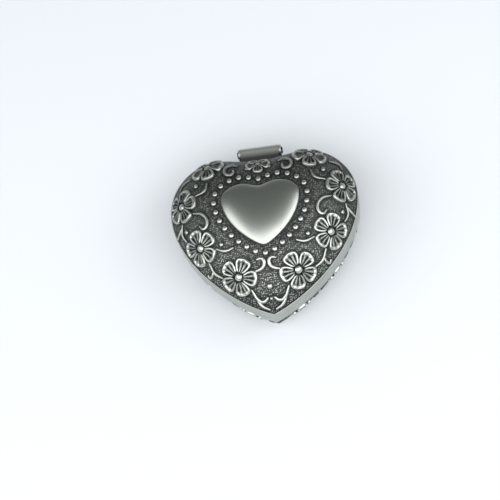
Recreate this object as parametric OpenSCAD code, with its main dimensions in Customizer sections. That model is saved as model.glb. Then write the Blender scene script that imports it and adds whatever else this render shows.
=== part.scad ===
// Heart-shaped trinket box: a cast lid and a cast bowl in antique pewter finish,
// joined at the cleft by a barrel hinge, with padded velvet inside.
// The box stands on its felt, with the point to the front (-Y) and the hinge behind (+Y).

/* [Heart outline] */
// Width across the two lobes
heart_w = 70; // [60:1:84]
// Reach of the front point from the heart's centre
point_reach = 42.4; // [36:0.2:48]
// Reach of the lobes behind the heart's centre
lobe_reach = 21.3; // [20:0.1:26]
// Depth of the cleft, from the back of the lobes to its bottom
cleft_depth = 2.1; // [1.2:0.1:6]

/* [Lid] */
// Height of the plain band round the lid
lid_band_h = 4.2; // [3.8:0.1:8]
// Height of the dome over the band
dome_h = 12.8; // [8:0.1:18]
// Share of the dome's fall that is spread over the middle, the rest being the shoulder
crown_share = 0.43; // [0.2:0.01:0.7]
// Wall of the lid's band
lid_wall = 1.3; // [1:0.1:2]
// Wall of the lid's dome
dome_wall = 1.5; // [1:0.1:2.5]
// Flat ledge between the band's top edge and the dome
ledge = 0.35; // [0.1:0.05:1]

/* [Raised heart] */
// Width of the smooth heart on the lid
raised_w = 28.6; // [20:0.2:34]
// Length of the smooth heart, from its point to its lobes
raised_len = 24.2; // [18:0.2:30]
// How far its centre lies in front of the lid's centre
raised_y = 0.6; // [0:0.2:6]
// Rise of its crown over the dome
raised_h = 2.2; // [1:0.1:4]

/* [Ornament] */
// Number of beads round the smooth heart
bead_n = 28; // [16:1:40]
// Diameter of a bead
bead_d = 1.9; // [1.2:0.1:2.6]
// Gap from the smooth heart's edge to the middle of the beads
bead_gap = 2.9; // [2:0.1:4]
// Diameter of a large blossom
blossom_d = 14; // [10:0.2:15]
// Diameter of the blossom at the cleft
cleft_blossom_d = 9.6; // [7:0.2:11]
// Diameter of a blossom on the bowl
bowl_blossom_d = 10.5; // [8:0.2:12]
// Rise of the petals over the ground
petal_rise = 0.7; // [0.3:0.1:1.2]
// Diameter of the boss in a blossom
boss_d = 2.6; // [1.6:0.1:3.4]

/* [Bowl] */
// Height of the bowl from the table to the parting line
base_h = 18.6; // [14:0.2:26]
// Height of the plain band round the bowl
base_band_h = 3.8; // [2.5:0.1:6]
// Size of the flat underside, as a share of the outline
floor_share = 0.66; // [0.5:0.01:0.8]
// Thickness of the bowl's floor
floor_t = 1.4; // [1:0.1:2.5]
// Step from the bowl's band in to its ornamented side
side_step = 0.9; // [0.4:0.1:1.5]
// Height of the lip that locates the lid
lip_h = 1.2; // [0.6:0.1:2]
// Thickness of the lip
lip_t = 0.9; // [0.7:0.1:1.5]
// Clearance between the lip and the lid's band
lip_gap = 0.25; // [0.15:0.05:0.5]

/* [Hinge] */
// Distance of the hinge axis behind the lobes
hinge_back = 3.3; // [3:0.1:6]
// Outer diameter of the barrel
barrel_d = 4.6; // [3.6:0.1:5]
// Length of the barrel
barrel_len = 14.4; // [10:0.2:20]
// Diameter of the pin
pin_d = 1.6; // [1.2:0.1:2]
// Radial running clearance between the pin and the barrel
pin_gap = 0.05; // [0.02:0.01:0.1]
// Thickness of an ear of the bracket
ear_t = 0.8; // [0.6:0.1:1.4]
// Side clearance between the barrel and each ear
ear_gap = 0.1; // [0.05:0.05:0.3]
// Diameter of the pin's peened heads
pin_head_d = 2.5; // [2:0.1:3.2]
// Thickness of the pin's heads
pin_head_t = 0.45; // [0.3:0.05:0.8]
// Gap between the leaves of the hinge at the parting line
leaf_gap = 0.2; // [0.1:0.05:0.5]
// Angle at which the stop rib meets the bracket
stop_angle = 101; // [80:1:115]

/* [Linings] */
// Thickness of the felt under the bowl
felt_t = 0.9; // [0.6:0.1:1.5]
// How far the felt stands below the bowl
felt_proud = 0.4; // [0.2:0.1:0.5]
// Thickness of the cards behind the pads
card_t = 0.8; // [0.5:0.1:1.2]
// Thickness of the velvet
velvet_t = 0.6; // [0.4:0.1:1]
// Thickness of the foam in the bowl's cushion
base_foam_t = 3.4; // [2:0.2:5]
// Thickness of the foam in the lid's pad
lid_foam_t = 1.8; // [1:0.1:3]
// Clearance round soft parts
soft_gap = 0.3; // [0.2:0.05:0.5]

/* [Hidden] */

pewter = [0.56, 0.58, 0.56];
bright_pewter = [0.72, 0.74, 0.72];
velvet_red = [0.36, 0.05, 0.09];
card_grey = [0.55, 0.52, 0.47];
foam_white = [0.9, 0.88, 0.82];
felt_black = [0.1, 0.1, 0.11];

side_steps = 14;   // facets along each side, each lobe and half the cleft
lobe_steps = 11;
cleft_steps = 4;
round_fn = 48;     // facets of bores, pins and barrels
tiny = 0.02;       // gap between faces that are pressed or glued together
soft_fit = 0.08;   // slack between velvet and the foam under it
shoulder_power = 5;
bury = 0.9;        // depth that ornament reaches into the casting
felt_margin = 3;   // from the edge of the underside in to the felt
floor_curl = 0.02; // the inside floor is this much smaller than the underside
dome_drop = 0.8;   // the dome's inner face starts this far below the band's top edge
seat_share = 0.955; // inner edge of the seat that the lid's card is glued to
stop_t = 1.2;      // thickness of the stop rib

cleft_reach = lobe_reach - cleft_depth;
band_top = base_h + lid_band_h;
band_low = base_h - base_band_h;
seat_z = band_top - 0.4;
hinge_z = base_h;
hinge_reach = lobe_reach + hinge_back;
barrel_r = barrel_d / 2;
leaf_h = barrel_r - leaf_gap;       // the lid's leaf runs level with the top of the barrel
ear_r = barrel_r - 0.1;
bracket_w = barrel_len + 2 * (ear_gap + ear_t);
plate_back = lobe_reach + 0.3;      // rear face of the bracket's plate
plate_h = base_band_h - leaf_gap - 0.2;
plate_reach = hinge_reach - plate_back;
stop_r = plate_reach + 0.15;
stop_lean = acos(plate_reach / norm([stop_r, stop_t / 2])) + atan(stop_t / 2 / stop_r);
foot_z = felt_proud;                // rim of the underside, just off the table
foot_top = felt_t;                  // floor of the felt's recess
floor_top = foot_top + floor_t;     // inside floor of the bowl
lip_in = lid_wall + lip_gap;
rim_wall = lip_in + lip_t;

// ---- the heart as a curve -------------------------------------------------

function bezier(a, b, c, d, t) =
    a * pow(1 - t, 3) + 3 * b * t * pow(1 - t, 2) + 3 * c * t * t * (1 - t) + d * pow(t, 3);

// Right half of a heart round its own centre, from the point up to the cleft
function half_heart(w, point, lobe, cleft) =
    let (a = w / 2, waist = 0.06 * lobe, peak = 0.46 * a)
    concat(
        [for (i = [0 : side_steps - 1])
            bezier([0, -point], [0.437 * a, -0.854 * point], [a, waist - 0.45 * point], [a, waist],
                   i / side_steps)],
        [for (i = [0 : lobe_steps - 1])
            bezier([a, waist], [a, 0.6 * lobe], [peak + 0.27 * a, lobe], [peak, lobe],
                   i / lobe_steps)],
        [for (i = [0 : cleft_steps])
            bezier([peak, lobe], [0.32 * a, lobe], [0.13 * a, cleft], [0, cleft],
                   i / cleft_steps)]);

function whole_heart(half) =
    concat(half, [for (i = [len(half) - 2 : -1 : 1]) [-half[i][0], half[i][1]]]);

outline = whole_heart(half_heart(heart_w, point_reach, lobe_reach, cleft_reach));
raised_outline = whole_heart(half_heart(raised_w, 0.773 * raised_len, 0.227 * raised_len,
                                        0.145 * raised_len));

function unit(v) = v / norm(v);

// The same closed curve moved inwards by d along its own normals
function inset(curve, d) =
    let (n = len(curve))
    [for (i = [0 : n - 1])
        let (along = unit(curve[(i + 1) % n] - curve[(i + n - 1) % n]))
        curve[i] + d * [-along[1], along[0]]];

function scaled(curve, share) = [for (p = curve) share * p];

function ring(curve, share, z) = [for (p = curve) [share * p[0], share * p[1], z]];

// Running lengths round a closed curve
function lengths(curve, i = 0, total = 0) =
    i == len(curve) ? [total]
    : concat([total], lengths(curve, i + 1,
                              total + norm(curve[(i + 1) % len(curve)] - curve[i])));

// The place at t on a closed curve, which t runs once round
function walk(curve, sums, t) =
    let (n = len(curve), s = (t - floor(t)) * sums[n],
         i = [for (k = [0 : n - 1]) if (sums[k] <= s && s < sums[k + 1]) k][0],
         f = (s - sums[i]) / (sums[i + 1] - sums[i]))
    curve[i] + f * (curve[(i + 1) % n] - curve[i]);

// How far out a place lies: 0 at the heart's centre, 1 on the outline
function reach(p) =
    let (n = len(outline),
         hits = [for (i = [0 : n - 1])
             let (a = outline[i], b = outline[(i + 1) % n], area = cross(a, b),
                  s = cross(p, b) / area, t = cross(a, p) / area)
             if (s >= 0 && t >= -1e-9) s + t])
    norm(p) < 1e-6 ? 0 : hits[0];

// The place on the outline that lies in a direction from the centre
function edge_at(angle) = let (d = [cos(angle), sin(angle)]) d / reach(d);

// Where the beads stand, round the smooth heart's own centre
bead_curve = inset(raised_outline, -bead_gap);
bead_sums = lengths(bead_curve);

// ---- the dome -------------------------------------------------------------

function crown(share) =
    1 - crown_share * pow(share, 2) - (1 - crown_share) * pow(share, shoulder_power);

function dome_z(p) = band_top + dome_h * crown(min(reach(p), 1));

function dome_point(p) = [p[0], p[1], dome_z(p)];

// A ring of the dome. Its length draws in a touch faster than its width, so no two of the
// dome's facets lie in one plane.
function dome_ring(curve, share) =
    [for (p = curve)
        [share * p[0], pow(share, 1.01) * p[1], band_top + dome_h * crown(share)]];

// Axes of the dome at a place: its normal, and two directions along the surface
function dome_axes(p) =
    let (e = 0.05,
         normal = unit([(dome_z(p - [e, 0]) - dome_z(p + [e, 0])) / (2 * e),
                        (dome_z(p - [0, e]) - dome_z(p + [0, e])) / (2 * e), 1]),
         across = unit([1, 0, 0] - normal * normal[0]))
    [across, cross(normal, across), normal];

// ---- the bowl's side ------------------------------------------------------

// Share of the outline and height, from the flat underside (0) to the band (90 degrees)
function side_share(a) = floor_share + (1 - floor_share) * sin(a);
function side_z(a) = foot_z + (band_low - foot_z) * (1 - cos(a));

side_curve = inset(outline, side_step);
underside = scaled(side_curve, floor_share);
side_sums = lengths(side_curve);

function side_point(t, a) =
    let (p = side_share(a) * walk(side_curve, side_sums, t)) [p[0], p[1], side_z(a)];

// The bowl's inside, from its floor (0) to where it runs straight up (90 degrees)
bowl_angles = [0, 18, 36, 54, 72, 90];
inner_top = inset(outline, rim_wall);
function bowl_share(a) = let (low = floor_share - floor_curl) low + (1 - low) * sin(a);
function bowl_z(a) = floor_top + (band_low - floor_top) * (1 - cos(a));
function bowl_angle(z) = acos(max(0, 1 - (z - floor_top) / (band_low - floor_top)));

// Curves of the pads, each clear of what stands round it
lid_pad_curve = inset(outline, rim_wall + soft_gap);
base_card_curve = inset(scaled(inner_top, floor_share - floor_curl), soft_gap);
base_pad_z = floor_top + card_t + 0.42 * (base_foam_t + velvet_t);
base_pad_curve = inset(scaled(inner_top, bowl_share(bowl_angle(base_pad_z - velvet_t))),
                       velvet_t + soft_gap);

// ---- solids between rings -------------------------------------------------

// Faces between rings of n points, the first of which starts at point number first
function wall_faces(n, k, first) =
    [for (j = [0 : k - 2]) for (i = [0 : n - 1])
        let (a = first + j * n + i, b = first + j * n + (i + 1) % n)
        each [[a, b, b + n], [a, b + n, a + n]]];

// Closed solid through rings that all have as many points, from one pole to the other
module skin(start, rings, end) {
    n = len(rings[0]);
    k = len(rings);
    polyhedron(
        points = concat([start], [for (r = rings) each r], [end]),
        faces = concat([for (i = [0 : n - 1]) [0, 1 + (i + 1) % n, 1 + i]],
                       wall_faces(n, k, 1),
                       [for (i = [0 : n - 1])
                           [1 + k * n, 1 + (k - 1) * n + i, 1 + (k - 1) * n + (i + 1) % n]]),
        convexity = 8);
}

// Closed solid round the heart, through rings that return to the first one
module collar(rings) {
    n = len(rings[0]);
    k = len(rings);
    last = (k - 1) * n;
    polyhedron(
        points = [for (r = rings) each r],
        faces = concat(wall_faces(n, k, 0),
                       [for (i = [0 : n - 1])
                           let (j = (i + 1) % n)
                           each [[last + i, last + j, j], [last + i, j, i]]]),
        convexity = 8);
}

// Puts what follows at a point, turned to the given axes
module at(point, axes) {
    multmatrix([[axes[0][0], axes[1][0], axes[2][0], point[0]],
                [axes[0][1], axes[1][1], axes[2][1], point[1]],
                [axes[0][2], axes[1][2], axes[2][2], point[2]],
                [0, 0, 0, 1]])
        children();
}

// One petal: a drop that points along +X, raised over its ground and dished on top
module petal(len) {
    difference() {
        hull() {
            translate([-0.42 * len, 0, -bury])
                cylinder(d = 0.3 * len, h = bury + 0.6 * petal_rise, $fn = 6);
            translate([0.12 * len, 0, -bury])
                cylinder(d1 = 0.96 * len, d2 = 0.8 * len, h = bury + petal_rise, $fn = 10);
        }
        translate([0.1 * len, 0, 0.3 * petal_rise])
            cylinder(d1 = 0.2 * len, d2 = 0.66 * len, h = petal_rise, $fn = 7);
    }
}

module bead(d) {
    translate([0, 0, -bury])
        cylinder(d1 = d, d2 = 0.55 * d, h = bury + 0.4 * d, $fn = 8);
}

// ---- lid ------------------------------------------------------------------

// Right-hand blossoms: direction from the heart's centre, share of the way out, heading
blossoms = [[-69, 0.815, 116], [-33, 0.825, 70], [4, 0.845, 36], [40, 0.79, -90]];

module dome_blossom(centre, d, heading) {
    axes = dome_axes(centre);
    for (k = [0 : 4]) {
        step = axes[0] * cos(heading + 72 * k) + axes[1] * sin(heading + 72 * k);
        p = centre + 0.3 * d * [step[0], step[1]];
        normal = dome_axes(p)[2];
        out = unit(step - normal * (step * normal));
        at(dome_point(p), [out, cross(normal, out), normal]) petal(0.36 * d);
    }
    at(dome_point(centre), axes) bead(boss_d * d / blossom_d);
}

module raised_heart() {
    centre = [0, -raised_y];
    top = dome_z(centre);
    rings = concat(
        [for (s = [0.25, 0.5, 0.72, 0.88, 0.97])
            [for (p = raised_outline)
                let (q = s * p + centre)
                [q[0], q[1], dome_z(q) + raised_h * sqrt(1 - s * s)]]],
        [[for (p = raised_outline)
            let (q = p + centre)
            [q[0], q[1], dome_z(q) - 0.3 * dome_wall]]]);
    skin([centre[0], centre[1], top + raised_h], rings,
         [centre[0], centre[1], top - 0.5 * dome_wall]);
}

module lid_shell() {
    dome_curve = inset(outline, ledge);
    inner_curve = inset(outline, lid_wall);
    inner_z = band_top - dome_drop;
    inner_h = dome_h - dome_wall + dome_drop;
    color(pewter) {
        skin([0, 0, band_top + dome_h],
             concat([for (s = [0.2, 0.36, 0.5, 0.62, 0.72, 0.81, 0.88, 0.94, 1])
                        dome_ring(dome_curve, s)],
                    [ring(outline, 1, band_top), ring(outline, 1, base_h),
                     ring(inner_curve, 1, base_h), ring(inner_curve, 1, seat_z),
                     ring(inner_curve, seat_share, seat_z)],
                    [for (s = [seat_share - 0.005, 0.87, 0.76, 0.6, 0.35])
                        ring(inner_curve, s, inner_z + inner_h * crown(s))]),
             [0, 0, inner_z + inner_h]);
        raised_heart();
        for (i = [0 : bead_n - 1]) {
            p = walk(bead_curve, bead_sums, i / bead_n) - [0, raised_y];
            at(dome_point(p), dome_axes(p)) bead(bead_d);
        }
        for (b = blossoms) {
            p = b[1] * edge_at(b[0]);
            dome_blossom(p, blossom_d, b[2]);
            dome_blossom([-p[0], p[1]], blossom_d, 180 - b[2]);
        }
        dome_blossom([0, 0.7 * cleft_reach], cleft_blossom_d, -90);
    }
}

// ---- bowl -----------------------------------------------------------------

// Right-hand blossoms: how far each stands round the side from the front point
bowl_places = [0.05, 0.145, 0.24, 0.33, 0.415];
bowl_row = 56;     // their height on the side, in degrees up from the underside

module side_blossom(t, d, heading) {
    e = 0.002;
    along = norm(side_point(t + e, bowl_row) - side_point(t - e, bowl_row)) / (2 * e);
    up = norm(side_point(t, bowl_row + 1) - side_point(t, bowl_row - 1)) / 2;
    // the sixth piece is the boss in the middle
    for (k = [0 : 5]) {
        out = k < 5 ? 0.3 * d : 0;
        a = heading + 72 * k;
        pt = t + out * cos(a) / along;
        pa = min(bowl_row + out * sin(a) / up, 84);
        u = unit(side_point(pt + e, pa) - side_point(pt - e, pa));
        normal = unit(cross(u, side_point(pt, pa + 1) - side_point(pt, pa - 1)));
        w = cross(normal, u);
        at(side_point(pt, pa), [cos(a) * u + sin(a) * w, cos(a) * w - sin(a) * u, normal]) {
            if (k < 5) petal(0.36 * d);
            if (k == 5) bead(boss_d * d / blossom_d);
        }
    }
}

module base_shell() {
    felt_curve = inset(underside, felt_margin - soft_gap);
    lip_curve = inset(outline, lip_in);
    color(pewter) {
        skin([0, 0, floor_top],
             concat([for (a = bowl_angles) ring(inner_top, bowl_share(a), bowl_z(a))],
                    [ring(inner_top, 1, base_h + lip_h), ring(lip_curve, 1, base_h + lip_h),
                     ring(lip_curve, 1, base_h),
                     ring(outline, 1, base_h), ring(outline, 1, band_low)],
                    [for (a = [90, 81, 72, 61, 48, 34, 18])
                        ring(side_curve, side_share(a), side_z(a))],
                    [ring(underside, 1, foot_z),
                     ring(felt_curve, 1, foot_z), ring(felt_curve, 1, foot_top)]),
             [0, 0, foot_top]);
        for (t = bowl_places) {
            side_blossom(t, bowl_blossom_d, 90);
            side_blossom(1 - t, bowl_blossom_d, 90);
        }
    }
}

// ---- hinge ----------------------------------------------------------------

// What lies behind the heart's outline, out to a straight back edge
module behind_outline(width, back) {
    difference() {
        translate([-width / 2, cleft_reach - 2]) square([width, back - cleft_reach + 2]);
        polygon(outline);
    }
}

module along_hinge(len, r) {
    translate([-len / 2, hinge_reach, hinge_z]) rotate([0, 90, 0])
        cylinder(h = len, r = r, $fn = round_fn);
}

module hinge_knuckle() {
    color(bright_pewter) difference() {
        union() {
            along_hinge(barrel_len, barrel_r);
            translate([0, 0, base_h + leaf_gap])
                linear_extrude(leaf_h) behind_outline(barrel_len, hinge_reach);
            // stop rib: swings round to meet the bracket's plate when the lid is open
            translate([-barrel_len / 2, hinge_reach, hinge_z])
                rotate([180 + stop_lean + stop_angle, 0, 0])
                    translate([0, barrel_r / 2, -stop_t / 2])
                        cube([barrel_len, stop_r - barrel_r / 2, stop_t]);
        }
        along_hinge(barrel_len + 2, pin_d / 2 + pin_gap);
    }
}

module hinge_bracket() {
    color(bright_pewter) difference() {
        union() {
            translate([0, 0, base_h - leaf_gap - plate_h])
                linear_extrude(plate_h) behind_outline(bracket_w, plate_back);
            for (side = [-1, 1])
                translate([side * (barrel_len / 2 + ear_gap + ear_t / 2), 0, 0]) {
                    along_hinge(ear_t, ear_r);
                    translate([-ear_t / 2, plate_back - 0.5, hinge_z - ear_r])
                        cube([ear_t, hinge_reach - plate_back + 0.5, ear_r - leaf_gap]);
                }
        }
        along_hinge(bracket_w + 2, pin_d / 2 + tiny);
    }
}

module hinge_pin() {
    color(bright_pewter) {
        along_hinge(bracket_w + 4 * tiny, pin_d / 2);
        for (side = [-1, 1])
            translate([side * (bracket_w / 2 + tiny + pin_head_t / 2), 0, 0])
                along_hinge(pin_head_t, pin_head_d / 2);
    }
}

// ---- linings --------------------------------------------------------------

// Rings of a pad that stands on z and swells to t; up is 1, or -1 for one that hangs
function pad_rings(low, wide, z, t, up) =
    [ring(low, 1, z), ring(wide, 1, z + up * 0.42 * t), ring(wide, 0.975, z + up * 0.66 * t),
     ring(wide, 0.92, z + up * 0.84 * t), ring(wide, 0.78, z + up * 0.95 * t)];

function backwards(list) = [for (i = [len(list) - 1 : -1 : 0]) list[i]];

module foam_pad(low, wide, z, t, up) {
    clear = velvet_t + soft_fit;
    rings = pad_rings(inset(low, clear), inset(wide, clear), z, t, up);
    if (up > 0) skin([0, 0, z + t], backwards(rings), [0, 0, z]);
    else skin([0, 0, z], rings, [0, 0, z - t]);
}

// Velvet drawn over a foam pad, its edge glued down to the card
module velvet_cover(low, wide, z, t, up) {
    outer = pad_rings(low, wide, z, t + velvet_t, up);
    inner = pad_rings(inset(low, velvet_t), inset(wide, velvet_t), z, t + soft_fit, up);
    out_top = [0, 0, z + up * (t + velvet_t)];
    in_top = [0, 0, z + up * (t + soft_fit)];
    if (up > 0) skin(out_top, concat(backwards(outer), inner), in_top);
    else skin(in_top, concat(backwards(inner), outer), out_top);
}

module card(curve, z) {
    color(card_grey) translate([0, 0, z]) linear_extrude(card_t) polygon(curve);
}

module lid_card() {
    card(inset(outline, lid_wall + tiny), seat_z - card_t);
}

module lid_foam() {
    color(foam_white) foam_pad(lid_pad_curve, lid_pad_curve, seat_z - card_t, lid_foam_t, -1);
}

module lid_velvet() {
    color(velvet_red)
        velvet_cover(lid_pad_curve, lid_pad_curve, seat_z - card_t, lid_foam_t, -1);
}

// A sheet of velvet that lines the bowl's side from the floor up to the parting line
module base_side_velvet() {
    low = floor_share - floor_curl;
    run = (1 - low) * heart_w / 2;
    rise = band_low - floor_top;
    outer = concat([for (a = bowl_angles)
                       ring(inset(scaled(inner_top, bowl_share(a)), tiny), 1, bowl_z(a) + tiny)],
                   [ring(inset(inner_top, tiny), 1, base_h)]);
    inner = concat([for (a = bowl_angles)
                       let (l = norm([rise * sin(a), run * cos(a)]) / velvet_t)
                       ring(inset(scaled(inner_top, bowl_share(a)), tiny + rise * sin(a) / l), 1,
                            bowl_z(a) + tiny + run * cos(a) / l)],
                   [ring(inset(inner_top, tiny + velvet_t), 1, base_h)]);
    color(velvet_red) collar(concat(inner, backwards(outer)));
}

module base_card() {
    card(base_card_curve, floor_top);
}

module base_foam() {
    color(foam_white)
        foam_pad(base_card_curve, base_pad_curve, floor_top + card_t, base_foam_t, 1);
}

module base_velvet() {
    color(velvet_red)
        velvet_cover(base_card_curve, base_pad_curve, floor_top + card_t, base_foam_t, 1);
}

module base_felt() {
    color(felt_black) linear_extrude(felt_t) polygon(inset(underside, felt_margin));
}

lid_shell();
hinge_knuckle();
base_shell();
hinge_bracket();
hinge_pin();
lid_card();
lid_foam();
lid_velvet();
base_side_velvet();
base_card();
base_foam();
base_velvet();
base_felt();
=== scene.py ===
"""Dresses the heart-shaped trinket box: antiqued pewter castings with blossom relief,
a pewter barrel hinge and a velvet-lined inside."""
import math

import bpy
import numpy as np
from mathutils import Matrix, Vector, kdtree
from mathutils.bvhtree import BVHTree


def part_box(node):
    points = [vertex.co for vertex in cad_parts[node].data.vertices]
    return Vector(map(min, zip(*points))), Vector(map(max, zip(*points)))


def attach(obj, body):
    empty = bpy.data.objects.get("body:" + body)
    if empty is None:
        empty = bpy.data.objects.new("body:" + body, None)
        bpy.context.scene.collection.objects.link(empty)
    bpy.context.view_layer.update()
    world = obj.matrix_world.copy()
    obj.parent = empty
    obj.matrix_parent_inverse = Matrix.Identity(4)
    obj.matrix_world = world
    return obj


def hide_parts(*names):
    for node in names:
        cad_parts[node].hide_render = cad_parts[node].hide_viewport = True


bl_info = {
    "name": "Heart trinket box",
    "version": (1, 0, 0),
    "blender": (4, 5, 0),
    "location": "View3D > Sidebar > Trinket box",
    "description": "Antiqued pewter trinket box with blossom relief and velvet inside",
    "category": "Object",
}

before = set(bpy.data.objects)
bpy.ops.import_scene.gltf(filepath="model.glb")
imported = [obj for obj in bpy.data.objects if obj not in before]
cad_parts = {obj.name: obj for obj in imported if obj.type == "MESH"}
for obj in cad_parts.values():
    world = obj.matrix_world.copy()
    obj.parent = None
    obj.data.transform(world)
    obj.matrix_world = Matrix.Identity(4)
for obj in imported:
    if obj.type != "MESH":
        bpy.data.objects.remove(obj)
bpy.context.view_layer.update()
LID_LOW, LID_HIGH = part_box("lid_shell")
MM = 0.001

HALF_WIDTH = LID_HIGH.x
POINT = -LID_LOW.y
LOBE = LID_HIGH.y
PARTING = LID_LOW.z
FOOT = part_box("base_shell")[0].z
SEAM = 0.02 * MM  # each casting's rim stands this far off the parting
HOVER = PARTING + 30 * MM  # the lid's ornament is laid out flat at this height
REACH = 60 * MM  # how far its rays look for the casting
TURN = 2 * math.pi


# ---- sizes and colours ------------------------------------------------------

def length(name, description, default, low, high):
    return bpy.props.FloatProperty(name=name, description=description, default=default * MM,
                                   min=low * MM, max=high * MM, unit="LENGTH", precision=5)


def share(name, description, default, low=0.0, high=1.0):
    return bpy.props.FloatProperty(name=name, description=description, default=default,
                                   min=low, max=high, subtype="FACTOR")


def linear(hex_colour):
    """An sRGB hex value as linear red, green, blue and alpha."""
    parts = [int(hex_colour[i:i + 2], 16) / 255 for i in (1, 3, 5)]
    return [c / 12.92 if c <= 0.04045 else ((c + 0.055) / 1.055) ** 2.4 for c in parts] + [1.0]


def colour(name, description, hex_colour):
    return bpy.props.FloatVectorProperty(name=name, description=description, subtype="COLOR",
                                         size=4, min=0, max=1, default=linear(hex_colour))


class CastingSizes(bpy.types.PropertyGroup):
    """Sizes of the two castings that the frame's boxes don't give."""
    cleft: length("Cleft", "Reach of the cleft behind the heart's centre", 19.2, 15, 20)
    lid_band: length("Lid band", "Height of the lid's plain band", 4.2, 3, 8)
    bowl_band: length("Bowl band", "Height of the bowl's plain band", 3.8, 2, 6)
    dome: length("Dome", "Height of the dome over the band", 12.8, 8, 18)
    crown: share("Crown", "Share of the dome's fall that is spread over the middle", 0.43)
    ledge: length("Ledge", "Flat ledge between the band and the dome", 0.35, 0.1, 1)
    lid_wall: length("Lid wall", "Wall of the lid's band", 1.3, 0.8, 2)
    dome_wall: length("Dome wall", "Wall of the dome", 1.5, 1, 2.5)
    seat: length("Seat", "From the band's top edge down to the seat of the lid's card",
                 0.4, 0.1, 1)
    lip: length("Lip", "Height of the lip that locates the lid", 1.2, 0.5, 2)
    lip_in: length("Lip inset", "From the outline in to the lip", 1.55, 1, 3)
    rim_wall: length("Rim wall", "From the outline in to the bowl's inside", 2.45, 2, 4)
    side_step: length("Side step", "Step from the band in to the bowl's side", 0.6, 0.3, 1.5)
    underside: share("Underside", "Size of the flat underside as a share of the outline", 0.66)
    floor_curl: share("Floor curl", "How much smaller the inside floor is", 0.02)
    felt_edge: length("Felt edge", "From the edge of the underside in to the felt", 2.7, 1, 5)
    recess: length("Felt recess", "Depth of the recess that holds the felt", 0.5, 0.2, 1)
    floor: length("Floor", "Height of the inside floor over the table", 2.3, 1.5, 4)


class ReliefSizes(bpy.types.PropertyGroup):
    """Sizes of the ornament."""
    heart_half: length("Smooth heart", "Half the width of the smooth heart", 14.3, 10, 17)
    heart_length: length("Smooth heart length", "From its point to its lobes", 24.2, 18, 30)
    heart_forward: length("Smooth heart forward", "How far it stands in front of the centre",
                          0.5, 0, 6)
    heart_rise: length("Smooth heart rise", "Rise of its crown over the dome", 2.15, 1, 4)
    bead: length("Bead", "Diameter of a bead", 2.2, 1, 3)
    bead_gap: length("Bead gap", "From the smooth heart's edge to the beads", 2.9, 2, 4)
    beads: bpy.props.IntProperty(name="Beads", description="Beads round the smooth heart",
                                 default=28, min=12, max=44)
    boss: share("Boss", "Size of a blossom's boss as a share of the blossom", 0.235)
    bowl_blossom: length("Bowl blossom", "Diameter of a blossom on the bowl", 10.5, 8, 12)
    bowl_dot: length("Bowl dot", "Diameter of a loose dot on the bowl", 1.5, 1, 2.5)
    tendril: length("Tendril", "Width of a tendril on the bowl", 1.0, 0.5, 1.6)
    shadow: length("Oxide", "How far the dark oxide reaches from the ornament", 1.3, 0.5, 3)


class Finishes(bpy.types.PropertyGroup):
    """Colours of the finishes."""
    patina: colour("Patina", "Dark oxide left in the hollows", "#26292a")
    ground: colour("Ground", "Stippled ground between the ornaments", "#636764")
    rubbed: colour("Rubbed pewter", "Metal rubbed bright on the relief", "#cfd3cd")
    satin: colour("Satin pewter", "Brushed bands and smooth heart", "#b4b9b3")
    velvet: colour("Velvet", "Velvet of the pads and the lining", "#5a0f1c")
    felt: colour("Felt", "Felt under the bowl", "#1c1c1f")
    board: colour("Board", "Grey board under the pads", "#8a7f6c")
    foam: colour("Foam", "Foam in the pads", "#e6dfcf")
    floor: colour("Floor", "Studio floor", "#d8dce0")


def castings():
    return bpy.context.scene.casting_sizes


def relief():
    return bpy.context.scene.relief_sizes


def finishes():
    return bpy.context.scene.box_finishes


# ---- the heart as a curve ---------------------------------------------------

def bezier(a, b, c, d, count):
    t = np.arange(count)[:, None] / count
    a, b, c, d = (np.array(p, float) for p in (a, b, c, d))
    return a * (1 - t) ** 3 + 3 * b * t * (1 - t) ** 2 + 3 * c * t * t * (1 - t) + d * t ** 3


def heart(half, point, lobe, cleft, steps):
    """A closed heart round its own centre, from the point round by the right lobe."""
    waist, peak = 0.06 * lobe, 0.46 * half
    side = bezier((0, -point), (0.437 * half, -0.854 * point), (half, waist - 0.45 * point),
                  (half, waist), steps[0])
    top = bezier((half, waist), (half, 0.6 * lobe), (peak + 0.27 * half, lobe), (peak, lobe),
                 steps[1])
    dip = bezier((peak, lobe), (0.32 * half, lobe), (0.13 * half, cleft), (0, cleft), steps[2])
    right = np.vstack([side, top, dip])
    return np.vstack([right, [[0, cleft]], right[:0:-1] * (-1, 1)])


def outline(steps=(96, 72, 26)):
    return heart(HALF_WIDTH, POINT, LOBE, castings().cleft, steps)


def smooth_heart_curve():
    long = relief().heart_length
    curve = heart(relief().heart_half, 0.79 * long, 0.227 * long, 0.16 * long, (48, 36, 14))
    # its point is worn round
    worn = np.arange(-3, 4)
    for _ in range(6):
        curve[worn] = (curve[worn - 1] + curve[worn + 1]) / 2
    return curve


def inset(curve, distance):
    along = np.roll(curve, -1, 0) - np.roll(curve, 1, 0)
    along /= np.linalg.norm(along, axis=1)[:, None]
    return curve + distance * np.stack([-along[:, 1], along[:, 0]], 1)


def ring(curve, z, size=1.0):
    z = np.broadcast_to(np.asarray(z, float), (len(curve),))
    return np.column_stack([curve * size, z])


def walk(curve, t):
    """Places at t on a closed curve, which t runs once round."""
    steps = np.linalg.norm(np.roll(curve, -1, 0) - curve, axis=1)
    sums = np.concatenate([[0], np.cumsum(steps)])
    s = (np.asarray(t) % 1.0) * sums[-1]
    closed = np.vstack([curve, curve[:1]])
    return np.stack([np.interp(s, sums, closed[:, k]) for k in (0, 1)], -1)


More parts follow.
